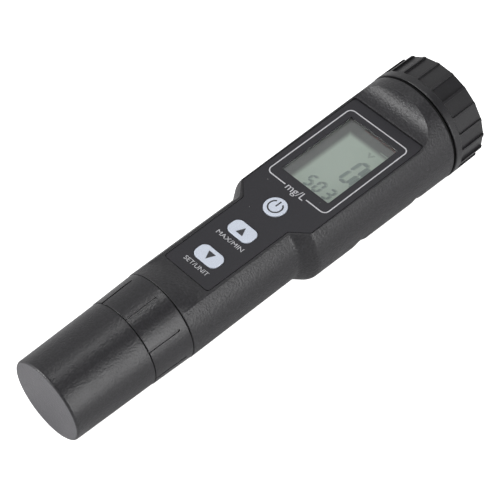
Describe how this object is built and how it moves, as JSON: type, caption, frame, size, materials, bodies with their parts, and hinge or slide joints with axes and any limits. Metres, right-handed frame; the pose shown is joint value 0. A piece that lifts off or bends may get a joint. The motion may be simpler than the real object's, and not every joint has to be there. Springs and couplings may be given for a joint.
{
  "type": "dissolved oxygen pen meter",
  "caption": "Hand-held water quality pen: display and keys on a flat face, twist-off battery cap, screw-ringed electrode and push-on protective cap.",
  "frame": {"origin": "centre of the protective cap's flat end face, on the pen's long axis", "axes": "+X along the pen from the protective cap to the battery cap; +Z out of the display, square to the flat face; +Y completes the right-handed frame"},
  "size_m": [0.185, 0.0436, 0.0436],
  "materials": {
    "housing": "fine spark-eroded texture",
    "cap": "satin moulded",
    "collar": "satin moulded",
    "battery_cap": "satin moulded",
    "label": "smooth printed film",
    "lens": "clear",
    "display": "grey-green reflective display",
    "display_rim": "moulded",
    "light_guide": "milky",
    "key": "satin",
    "rubber": "black seal",
    "elastomer": "striped elastomer",
    "board": "solder mask",
    "chip": "moulded package",
    "inner_plastic": "moulded",
    "steel": "plated",
    "cell": "stamped can",
    "brass": "gold plated",
    "ribbon": "polyimide",
    "probe_plastic": "moulded",
    "silver": "polished",
    "zinc": "dull",
    "membrane": "translucent film",
    "membrane_cap": "moulded",
    "sponge": "open-cell sponge"
  },
  "bodies": {
    "meter": {"main_housing": "housing", "front_label": "label", "window_lens": "lens", "lcd_glass": "display", "lcd_frame": "display_rim", "backlight": "light_guide", "zebra_strips": "elastomer", "main_board": "board", "microcontroller": "chip", "board_components": "chip", "key_switches": "steel", "key_retainer": "inner_plastic", "chassis": "inner_plastic", "chassis_screws": "steel", "battery_holder": "inner_plastic", "battery_lid": "inner_plastic", "battery_base_contact": "steel", "battery_spring": "steel", "coin_cell_1": "cell", "coin_cell_2": "cell", "coin_cell_3": "cell", "coin_cell_4": "cell", "probe_socket": "inner_plastic", "socket_contacts": "brass", "probe_ribbon": "ribbon"},
    "electrode": {"electrode_stem": "probe_plastic", "stem_pins": "brass", "stem_seal": "rubber", "cap_seal": "rubber", "temperature_sensor": "steel", "cathode": "silver", "anode": "zinc"},
    "collar": {"electrode_collar": "collar"},
    "membrane_ring": {"membrane_seal": "rubber"},
    "membrane_holder": {"membrane_cap": "membrane_cap", "membrane_film": "membrane"},
    "probe_cover": {"protective_cap": "cap", "cap_sponge": "sponge"},
    "battery_ring": {"battery_cap_seal": "rubber"},
    "battery_cover": {"battery_cap": "battery_cap"},
    "power_button": {"power_key": "key"},
    "up_button": {"up_key": "key"},
    "down_button": {"down_key": "key"}
  },
  "joints": [
    {"name": "electrode_draw", "type": "slide", "parent": "meter", "child": "electrode", "axis": [-1, 0, 0], "range_m": [0, 0.015]},
    {"name": "collar_turn", "type": "hinge", "parent": "electrode", "child": "collar", "pos_m": [0.041, 0, 0], "axis": [-1, 0, 0], "range_deg": [0, 1800]},
    {"name": "membrane_draw", "type": "slide", "parent": "electrode", "child": "membrane_ring", "axis": [-1, 0, 0], "range_m": [0, 0.0025]},
    {"name": "membrane_cap_turn", "type": "hinge", "parent": "membrane_ring", "child": "membrane_holder", "pos_m": [0.015, 0, 0], "axis": [-1, 0, 0], "range_deg": [0, 900]},
    {"name": "protective_cap_pull", "type": "slide", "parent": "electrode", "child": "probe_cover", "axis": [-1, 0, 0], "range_m": [0, 0.04]},
    {"name": "battery_cap_draw", "type": "slide", "parent": "meter", "child": "battery_ring", "axis": [1, 0, 0], "range_m": [0, 0.012]},
    {"name": "battery_cap_turn", "type": "hinge", "parent": "battery_ring", "child": "battery_cover", "pos_m": [0.178, 0, 0], "axis": [1, 0, 0], "range_deg": [0, 1440]},
    {"name": "power_press", "type": "slide", "parent": "meter", "child": "power_button", "axis": [0, 0, -1], "range_m": [0, 0.0005], "stiffness_N_per_m": 600},
    {"name": "up_press", "type": "slide", "parent": "meter", "child": "up_button", "axis": [0, 0, -1], "range_m": [0, 0.0005], "stiffness_N_per_m": 600},
    {"name": "down_press", "type": "slide", "parent": "meter", "child": "down_button", "axis": [0, 0, -1], "range_m": [0, 0.0005], "stiffness_N_per_m": 600}
  ],
  "couplings": [
    {"joint": "collar_turn", "follows": "electrode_draw", "rad_per_m": 2094.4},
    {"joint": "membrane_cap_turn", "follows": "membrane_draw", "rad_per_m": 6283.2},
    {"joint": "battery_cap_turn", "follows": "battery_cap_draw", "rad_per_m": 2094.4}
  ]
}
